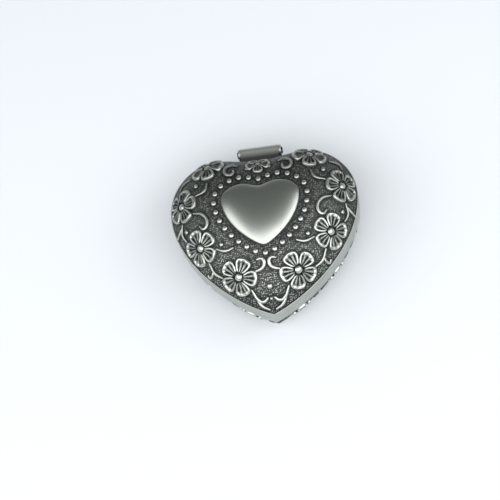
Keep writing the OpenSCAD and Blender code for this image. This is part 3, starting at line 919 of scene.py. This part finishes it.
def grow_relief(name, casting, layout, strands, inward):
    """All the raised ornament of one casting, as one mesh."""
    metal = rubbed_pewter_relief()
    motifs = (petal_motif(), bead_motif())
    tree = bpy.data.node_groups.get("draped_motif") or motif_tree()
    pieces = []
    for motif, rows in zip(motifs, layout):
        points = new_mesh("layout", [r[0] for r in rows])
        store(points, "aim", [r[1] for r in rows], "FLOAT_VECTOR")
        store(points, "heading", [r[2] for r in rows], "FLOAT_VECTOR")
        store(points, "size", [r[3] for r in rows])
        pieces.append(grown(points, tree, {"Casting": casting, "Motif": motif,
                                           "Reach": REACH, "Finish": metal}, name))
    wires = bpy.data.node_groups.get("laid_tendril") or tendril_tree()
    pieces.append(grown(wire_curve("strands", strands), wires,
                        {"Casting": casting, "Inward": inward, "Spacing": 0.35 * MM,
                         "Sides": 10, "Lift": 0.02 * MM, "Finish": metal}, name))
    for motif in motifs:
        bpy.data.objects.remove(motif)
    piece = joined(name, pieces)
    for extra in ("aim", "heading", "size", "up", "rise"):
        layer = piece.data.attributes.get(extra)
        if layer:
            piece.data.attributes.remove(layer)
    return piece


def darken_beside(casting, ornament):
    """Stores how far the casting was rubbed: little beside the ornament, more in the open."""
    tree = kdtree.KDTree(len(ornament))
    for i, co in enumerate(ornament):
        tree.insert(co, i)
    tree.balance()
    near = np.array([tree.find(co)[2] for co in coordinates(casting)])
    store(casting, "rub", np.clip(near / relief().shadow, 0, 1) ** 0.8)


# ---- pieces -----------------------------------------------------------------

class BOX_OT_lid_casting(bpy.types.Operator):
    """Cast the lid: a domed heart with a plain band"""
    bl_idname = "trinket_box.lid_casting"
    bl_label = "Lid casting"

    def execute(self, context):
        sizes = castings()
        rim = outline()
        dome = inset(rim, sizes.ledge)
        inner = inset(rim, sizes.lid_wall)
        top = PARTING + sizes.lid_band
        shares = np.concatenate([np.linspace(0.02, 0.6, 26), np.linspace(0.62, 1, 44)])
        rings = [ring(dome * s, dome_height(dome * s)) for s in shares]
        dome_faces = len(rings) * len(rim)
        rings += rounded_edge(rim, top, -1, ((0.28, 0), (0.14, 0.05), (0.04, 0.15), (0, 0.3)))
        rings.append(ring(rim, top - 0.5 * sizes.lid_band))
        rings += rounded_edge(rim, PARTING + SEAM)
        rings += [ring(inner, PARTING + SEAM), ring(inner, top - sizes.seat),
                  ring(inner, top - sizes.seat, 0.955)]
        # the dome's inside starts a little below the band's top
        drop = 0.8 * MM
        lift = sizes.dome - sizes.dome_wall + drop
        rings += [ring(inner, top - drop + lift * (1 - dome_fall(s)), s)
                  for s in (0.95, 0.87, 0.76, 0.6, 0.35)]
        peak = float(dome_height(np.array([[0.0, 1e-6]]))[0])
        piece = capped("lid_casting", (0, 0, peak), rings, (0, 0, top - drop + lift))
        paint_casting(piece, slice(0, dome_faces))
        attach(piece, "lid")
        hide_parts("lid_shell")
        return {"FINISHED"}


class BOX_OT_smooth_heart(bpy.types.Operator):
    """Set the smooth satin heart on the dome"""
    bl_idname = "trinket_box.smooth_heart"
    bl_label = "Smooth heart"

    def execute(self, context):
        sizes = relief()
        curve = smooth_heart_curve()
        forward = np.array([0, -sizes.heart_forward])
        shares = np.concatenate([np.linspace(0.04, 0.9, 26), [0.93, 0.96, 0.985, 1.0]])
        pillow = self.pillow(curve, sizes.heart_rise)
        rings, rub = [], [1.0] * len(shares)
        for s in shares:
            place = curve * s + forward
            rings.append(ring(place, dome_height(place) + pillow(curve * s)))
        # the wall under the rim runs into the dome
        for out, rise, worn in ((0.07, 0.42, 0.9), (0.12, 0.2, 0.45), (0.18, -0.25, 0.0)):
            place = inset(curve, -out * MM) + forward
            rings.append(ring(place, dome_height(place) + rise * MM))
            rub.append(worn)
        peak = float(dome_height(forward[None, :])[0])
        low = [*forward, peak - 1 * MM]
        high = [*forward, peak + float(pillow(np.zeros((1, 2)))[0])]
        piece = capped("smooth_heart", high, rings, low, 60)
        store(piece, "rub", np.concatenate([[1.0], np.repeat(rub, len(curve)), [0.0]]))
        paint(piece, satin_polished_pewter())
        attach(piece, "lid")
        return {"FINISHED"}

    @staticmethod
    def pillow(curve, rise):
        """Height of a sheet blown up inside the curve, as a function of the place."""
        step, brim = 0.25 * MM, 0.5 * MM
        low, high = curve.min(0) - 2 * step, curve.max(0) + 2 * step
        xs, ys = (np.arange(low[k], high[k] + step, step) for k in (0, 1))
        grid = np.stack(np.meshgrid(xs, ys, indexing="ij"), -1)
        edge = np.interp(np.arctan2(grid[..., 1], grid[..., 0]), *radius_table(curve),
                         period=TURN)
        inside = np.linalg.norm(grid, axis=-1) < edge
        swell = np.zeros(inside.shape)
        for _ in range(2500):
            swell[1:-1, 1:-1] = 0.25 * (swell[2:, 1:-1] + swell[:-2, 1:-1] + swell[1:-1, 2:]
                                        + swell[1:-1, :-2]) + 1e-3
            swell[~inside] = 0
        swell /= swell.max()

        def height(place):
            u = np.clip((place[:, 0] - xs[0]) / step, 0, len(xs) - 1.001)
            v = np.clip((place[:, 1] - ys[0]) / step, 0, len(ys) - 1.001)
            i, j = u.astype(int), v.astype(int)
            fu, fv = u - i, v - j
            flat = ((1 - fu) * (1 - fv) * swell[i, j] + fu * (1 - fv) * swell[i + 1, j]
                    + (1 - fu) * fv * swell[i, j + 1] + fu * fv * swell[i + 1, j + 1])
            return brim + (rise - brim) * np.clip(flat, 0, 1) ** 0.7

        return height


class BOX_OT_lid_relief(bpy.types.Operator):
    """Grow the blossoms, beads and tendrils on the lid"""
    bl_idname = "trinket_box.lid_relief"
    bl_label = "Lid relief"

    def execute(self, context):
        casting = bpy.data.objects["lid_casting"]
        piece = grow_relief("lid_relief", casting, lid_layout(), lid_strands(), 0.0)
        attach(piece, "lid")
        # the smooth heart's last four rings
        wall = coordinates(bpy.data.objects["smooth_heart"])[-1 - 4 * len(
            smooth_heart_curve()):-1]
        rim = ring(inset(outline(), castings().ledge), PARTING + castings().lid_band)
        darken_beside(casting, np.vstack([coordinates(piece), wall, rim]))
        return {"FINISHED"}


class BOX_OT_bowl_casting(bpy.types.Operator):
    """Cast the bowl: a plain band, a rounded side and a recessed underside"""
    bl_idname = "trinket_box.bowl_casting"
    bl_label = "Bowl casting"

    def execute(self, context):
        sizes = castings()
        rim = outline()
        side = inset(rim, sizes.side_step)
        inner, lip = inset(rim, sizes.rim_wall), inset(rim, sizes.lip_in)
        recess = inset(side * sizes.underside, sizes.felt_edge)
        low, lip_top = PARTING - sizes.bowl_band, PARTING + sizes.lip
        rings = [ring(inner, curl_height(a, sizes.floor), curl_share(a, sizes.floor_curl))
                 for a in (0, 12, 24, 36, 48, 60, 75, 90)]
        rings += [ring(inner, lip_top), ring(lip, lip_top), ring(lip, PARTING - SEAM)]
        rings += rounded_edge(rim, PARTING - SEAM, -1)[::-1]
        rings.append(ring(rim, low + 0.5 * sizes.bowl_band))
        rings += rounded_edge(rim, low)
        rings.append(ring(inset(rim, 0.8 * sizes.side_step), low))
        band_faces = len(rings) * len(rim)
        rings += [ring(side, curl_height(a, FOOT), curl_share(a))
                  for a in np.concatenate([np.linspace(90, 4, 44), [0]])]
        rings += [ring(recess, FOOT), ring(recess, FOOT + sizes.recess)]
        piece = capped("bowl_casting", (0, 0, sizes.floor), rings, (0, 0, FOOT + sizes.recess))
        paint_casting(piece, slice(band_faces, None))
        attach(piece, "bowl")
        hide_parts("base_shell")
        return {"FINISHED"}


class BOX_OT_bowl_relief(bpy.types.Operator):
    """Grow the blossoms, dots and tendrils on the bowl"""
    bl_idname = "trinket_box.bowl_relief"
    bl_label = "Bowl relief"

    def execute(self, context):
        casting = bpy.data.objects["bowl_casting"]
        piece = grow_relief("bowl_relief", casting, bowl_layout(), bowl_strands(), 1.0)
        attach(piece, "bowl")
        step = ring(inset(outline(), castings().side_step), PARTING - castings().bowl_band)
        darken_beside(casting, np.vstack([coordinates(piece), step]))
        return {"FINISHED"}


class BOX_OT_hinge(bpy.types.Operator):
    """Finish the barrel, the bracket and the pin"""
    bl_idname = "trinket_box.hinge"
    bl_label = "Hinge"

    def execute(self, context):
        # the barrel and the bracket carry painted shade beside the lid and a painted highlight
        # behind
        for node, metal in (("hinge_knuckle", rubbed_pewter_hinge),
                            ("hinge_bracket", rubbed_pewter_hinge),
                            ("hinge_pin", blackened_pewter)):
            paint(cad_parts[node], metal())
        return {"FINISHED"}


# Thickness of the velvet, the glue under it and the room round the pads
VELVET, GLUE, ROOM = 0.6 * MM, 0.03 * MM, 0.3 * MM


def pad_rings(low, wide, z, thick, up):
    """Rings of a pad's skin, from its glued edge over its crown."""
    shares = ((1, 0), (1, 0.2), (1, 0.42), (0.99, 0.55), (0.975, 0.66), (0.95, 0.76),
              (0.92, 0.84), (0.86, 0.905), (0.78, 0.95), (0.6, 0.98), (0.4, 0.995),
              (0.2, 1.0))
    curves = [low] + [wide] * (len(shares) - 1)
    return [ring(c * s, z + up * thick * h) for c, (s, h) in zip(curves, shares)]


def pressed_out(piece, core, gap):
    """Keeps a cover clear of the stuffing inside it, by at least a gap."""
    tree = BVHTree.FromObject(core, bpy.context.evaluated_depsgraph_get())
    for vertex in piece.data.vertices:
        near, normal, _, far = tree.find_nearest(vertex.co)
        inside = (vertex.co - near).dot(normal) < 0
        if inside or far < gap:
            vertex.co = near + normal * gap


def remade(piece, kind, **settings):
    """Applies one new modifier to a piece."""
    assign(piece.modifiers.new(kind.lower(), kind), **settings)
    mesh = evaluated(piece)
    piece.modifiers.clear()
    piece.data = mesh


def stuffed(piece, core, glued, slack, most):
    """Fills a cover as foam does: cloth pressure swells it from its glued edge.

    The cloth works on a copy twenty times as large, where Blender's settings suit it."""
    big, frames, weave, hem, gap = 20.0, 20, 0.55 * MM, 0.45 * MM, 0.15 * MM
    piece.data.transform(Matrix.Scale(big, 4))
    remade(piece, "REMESH", mode="VOXEL", voxel_size=weave * big)
    start = coordinates(piece)
    held = np.abs(start[:, 2] - glued * big) < hem * big
    group = piece.vertex_groups.new(name="glued")
    group.add([int(i) for i in np.flatnonzero(held)], 1.0, "REPLACE")
    cloth = piece.modifiers.new("stuffing", "CLOTH")
    assign(cloth.settings, quality=6, mass=0.3, tension_stiffness=12,
           compression_stiffness=12, shear_stiffness=4, bending_stiffness=0.05,
           use_pressure=True, uniform_pressure_force=4, shrink_min=-slack,
           vertex_group_mass="glued")
    cloth.settings.effector_weights.gravity = 0
    cloth.point_cache.frame_end = frames
    scene = bpy.context.scene
    for number in range(1, frames + 1):
        scene.frame_set(number)
        now = piece.evaluated_get(bpy.context.evaluated_depsgraph_get()).to_mesh()
    co = np.empty(len(now.vertices) * 3, np.float32)
    now.vertices.foreach_get("co", co)
    scene.frame_set(1)
    piece.modifiers.clear()
    piece.vertex_groups.clear()
    move = co.reshape(-1, 3) - start
    size = np.maximum(np.linalg.norm(move, axis=1, keepdims=True), 1e-9)
    moved = start + move * np.minimum(1, most * big / size)
    piece.data.vertices.foreach_set("co", (moved / big).ravel())
    pressed_out(piece, core, gap)
    remade(piece, "SUBSURF", levels=1, render_levels=1)
    for polygon in piece.data.polygons:
        polygon.use_smooth = True


class BOX_OT_linings(bpy.types.Operator):
    """Sew the velvet cushion, the lid's pad and the bowl's lining"""
    bl_idname = "trinket_box.linings"
    bl_label = "Linings"

    def execute(self, context):
        sizes = castings()
        rim = outline((60, 44, 16))
        inner = inset(rim, sizes.rim_wall)
        low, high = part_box("base_velvet")
        card = inset(inner * (sizes.underside - sizes.floor_curl), ROOM)
        # the cushion is widest where its pile meets the lining
        level = low.z + 0.42 * (high.z - low.z) - VELVET
        wide = inset(inner * curl_share(self.bowl_angle(level), sizes.floor_curl), 0.95 * MM)
        rings = pad_rings(card, wide, low.z, high.z - low.z, 1)
        cushion = capped("bowl_cushion", (0, 0, high.z), rings[::-1], (0, 0, low.z), 60)
        self.stuff(cushion, "base_foam", low.z)
        self.cover(cushion, "bowl", 0.8, "base_velvet")
        low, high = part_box("lid_velvet")
        hung = inset(rim, sizes.rim_wall + ROOM)
        rings = pad_rings(hung, hung, high.z, high.z - low.z, -1)
        pad = capped("lid_pad", (0, 0, high.z), rings, (0, 0, low.z), 60)
        self.stuff(pad, "lid_foam", high.z)
        self.cover(pad, "lid", 0.6, "lid_velvet")
        self.cover(self.lining(inner), "bowl", 0.2, "base_side_velvet")
        for node, material in (("lid_card", grey_board), ("base_card", grey_board),
                               ("lid_foam", foam), ("base_foam", foam),
                               ("base_felt", pressed_felt)):
            paint(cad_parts[node], material())
        return {"FINISHED"}

    @staticmethod
    def bowl_angle(z):
        """The angle at which the bowl's inside has a height."""
        low, top = castings().floor, PARTING - castings().bowl_band
        return math.degrees(math.acos(max(0, 1 - (z - low) / (top - low))))

    @staticmethod
    def lining(inner):
        """Velvet of even thickness along the bowl's inside, up to the parting."""
        sizes = castings()
        rise = PARTING - sizes.bowl_band - sizes.floor
        run = (1 - sizes.underside + sizes.floor_curl) * HALF_WIDTH
        back, face = [], []
        for a in np.linspace(0, 90, 16):
            s, c = math.sin(math.radians(a)), math.cos(math.radians(a))
            scale = VELVET / math.hypot(rise * s, run * c)
            wall = inner * curl_share(a, sizes.floor_curl)
            z = curl_height(a, sizes.floor) + GLUE
            back.append(ring(inset(wall, GLUE), z))
            face.append(ring(inset(wall, GLUE + rise * s * scale), z + run * c * scale))
        for z, round_in in ((-1.2, 0), (-0.3, 0), (0, 0.25)):
            back.append(ring(inset(inner, GLUE), PARTING + z * MM))
            face.append(ring(inset(inner, GLUE + VELVET - round_in * MM), PARTING + z * MM))
        return looped("bowl_lining", face + back[::-1], 60)

    @staticmethod
    def stuff(piece, core, glued):
        stuffed(piece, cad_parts[core], glued, 0.05, 0.5 * MM)

    @staticmethod
    def cover(piece, body, fill, node):
        paint(piece, cotton_velvet())
        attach(piece, body)
        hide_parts(node)


# ---- stage ------------------------------------------------------------------

# Soft lamps: azimuth from the front towards the right, elevation, distance, size and power
LAMPS = {
    "front_softbox": (4, 56, 0.9, 0.95, 0.78, 5.6),
    "left_softbox": (-70, 41, 0.9, 0.9, 0.5, 3.2),
    "right_softbox": (76, 42, 0.9, 0.9, 0.5, 3.5),
    "back_strip": (180, 8, 1.1, 1.6, 0.5, 0.7),
}


def direction(azimuth, elevation):
    """The way to a place round the box; azimuth 0 is in front of it, and 90 on its right."""
    a, e = math.radians(azimuth), math.radians(elevation)
    return Vector((math.sin(a) * math.cos(e), -math.cos(a) * math.cos(e), math.sin(e)))


class BOX_OT_stage(bpy.types.Operator):
    """Set the floor, the soft lights and the camera"""
    bl_idname = "trinket_box.stage"
    bl_label = "Stage"

    def execute(self, context):
        floor = new_mesh("studio_floor", [(x, y, -0.02 * MM) for x, y in (
            (-3, -3), (3, -3), (3, 3), (-3, 3))], [(0, 1, 2, 3)])
        paint(floor, pale_paper_floor())
        self.world()
        for name, (azimuth, elevation, distance, wide, tall, power) in LAMPS.items():
            light = bpy.data.lights.new(name, "AREA")
            assign(light, shape="RECTANGLE", size=wide, size_y=tall, energy=power)
            way = direction(azimuth, elevation)
            assign(placed(name, light), location=way * distance,
                   rotation_euler=way.to_track_quat("Z", "Y").to_euler())
        self.camera()
        context.scene.view_settings.view_transform = "Standard"
        return {"FINISHED"}

    @staticmethod
    def world():
        """A soft fill, a dimmer room in the metal and a bright ground behind the box."""
        world = bpy.data.worlds.new("studio")
        bpy.context.scene.world = world
        world.use_nodes = True
        tree = world.node_tree
        tree.nodes.clear()
        path = add(tree, "ShaderNodeLightPath").outputs
        fill, mirrored, seen = (
            add(tree, "ShaderNodeBackground", light)
            for light in (((0.95, 0.97, 1.0, 1), 0.5), ((0.97, 1.0, 0.97, 1), 0.17),
                          ((0.84, 0.89, 0.93, 1), 1.0)))
        lit = add(tree, "ShaderNodeMixShader", (path["Is Glossy Ray"], fill, mirrored))
        mixed = add(tree, "ShaderNodeMixShader", (path["Is Camera Ray"], lit, seen))
        add(tree, "ShaderNodeOutputWorld", {"Surface": mixed})

    @staticmethod
    def camera():
        azimuth, roll = math.radians(14.7), math.radians(-21.0)
        towards = direction(14.7, 67.0)
        level = Vector((math.cos(azimuth), math.sin(azimuth), 0))
        rise = towards.cross(level)
        right = math.cos(roll) * level + math.sin(roll) * rise
        up = -math.sin(roll) * level + math.cos(roll) * rise
        target = Vector((-6.64 * MM, -15.98 * MM, PARTING + castings().lid_band))
        camera = placed("camera", bpy.data.cameras.new("camera"))
        assign(camera.data, sensor_width=36.0, lens=118.5)
        spin = Matrix((right, up, towards)).transposed().to_4x4()
        camera.matrix_world = Matrix.Translation(target + towards * 0.6034) @ spin
        bpy.context.scene.camera = camera


OPERATORS = (BOX_OT_lid_casting, BOX_OT_smooth_heart, BOX_OT_lid_relief, BOX_OT_bowl_casting,
             BOX_OT_bowl_relief, BOX_OT_hinge, BOX_OT_linings, BOX_OT_stage)
SETTINGS = {"casting_sizes": CastingSizes, "relief_sizes": ReliefSizes,
            "box_finishes": Finishes}


class BOX_PT_panel(bpy.types.Panel):
    """Lists the box's pieces"""
    bl_label = "Trinket box"
    bl_idname = "BOX_PT_panel"
    bl_space_type = "VIEW_3D"
    bl_region_type = "UI"
    bl_category = "Trinket box"

    def draw(self, context):
        for operator in OPERATORS:
            self.layout.operator(operator.bl_idname)
        for setting in SETTINGS:
            group = getattr(context.scene, setting)
            column = self.layout.column()
            for name in group.__annotations__:
                column.prop(group, name)


CLASSES = (*SETTINGS.values(), *OPERATORS, BOX_PT_panel)


def register():
    for kind in CLASSES:
        bpy.utils.register_class(kind)
    for name, kind in SETTINGS.items():
        setattr(bpy.types.Scene, name, bpy.props.PointerProperty(type=kind))


def unregister():
    for name in SETTINGS:
        delattr(bpy.types.Scene, name)
    for kind in reversed(CLASSES):
        bpy.utils.unregister_class(kind)


def main():
    register()
    for operator in OPERATORS:
        group, name = operator.bl_idname.split(".")
        getattr(getattr(bpy.ops, group), name)()


if __name__ == "__main__":
    main()
